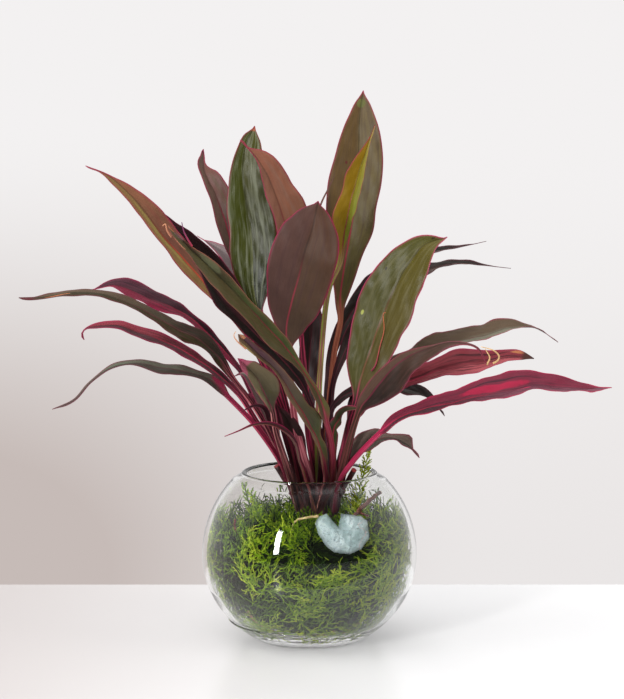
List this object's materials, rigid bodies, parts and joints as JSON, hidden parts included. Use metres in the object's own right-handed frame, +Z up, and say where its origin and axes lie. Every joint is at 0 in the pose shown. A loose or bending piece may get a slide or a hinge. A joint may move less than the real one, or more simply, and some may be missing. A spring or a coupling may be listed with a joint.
{
  "type": "potted cordyline",
  "caption": "Red-leaved cordyline shoots standing in a clear round glass vase that is packed with green conifer sprigs, with twigs and a pale chunk among them.",
  "frame": {"origin": "centre of the flat base of the vase, where it meets the table", "axes": "+Z up, -Y towards the viewer of the picture, +X to the viewer's right"},
  "size_m": [0.6482, 0.3091, 0.6429],
  "materials": {
    "clear_glass": "clear, smooth and glossy",
    "conifer_green": "matte living green: lime to dark green from sprig to sprig",
    "shoot_left_leaf": "satin leaf: crimson and grey-olive blades with magenta margins and fine parallel veins",
    "shoot_back_left_leaf": "satin leaf: tan, mauve-grey, near-black and green blades with magenta margins and parallel veins",
    "shoot_front_leaf": "satin leaf: dark purple-brown and olive blades with peach and magenta margins and parallel veins",
    "shoot_back_leaf": "satin leaf: salmon-brown, olive-brown and lime blades with magenta margins and parallel veins",
    "shoot_right_leaf": "satin leaf: olive, brown, grey and crimson blades with magenta margins and parallel veins",
    "pale_chunk": "pale, translucent and slightly glossy: fine speckles with a pinkish vein",
    "woody_twig_bark": "rough bark with a pale cut end",
    "straw_bark": "dry straw",
    "red_twig_bark": "smooth bark",
    "root_bark": "wet root"
  },
  "bodies": {
    "root": {"bowl": "clear_glass", "packed_sprigs": "conifer_green", "shoot_left": "shoot_left_leaf", "shoot_back_left": "shoot_back_left_leaf", "shoot_front": "shoot_front_leaf", "shoot_back": "shoot_back_leaf", "shoot_right": "shoot_right_leaf", "spray_rim_right": "conifer_green", "spray_left_up": "conifer_green", "spray_left_in": "conifer_green", "spray_arch_left": "conifer_green", "spray_arch_front": "conifer_green", "spray_front_low": "conifer_green", "spray_left_side": "conifer_green", "spray_right_low": "conifer_green", "spray_right_side": "conifer_green", "spray_back_right": "conifer_green", "spray_back": "conifer_green", "spray_back_left": "conifer_green", "spray_back_up": "conifer_green", "chunk": "pale_chunk", "woody_twig": "woody_twig_bark", "straw": "straw_bark", "red_twig": "red_twig_bark", "root_left": "root_bark", "root_front": "root_bark", "root_right": "root_bark"}
  },
  "joints": []
}
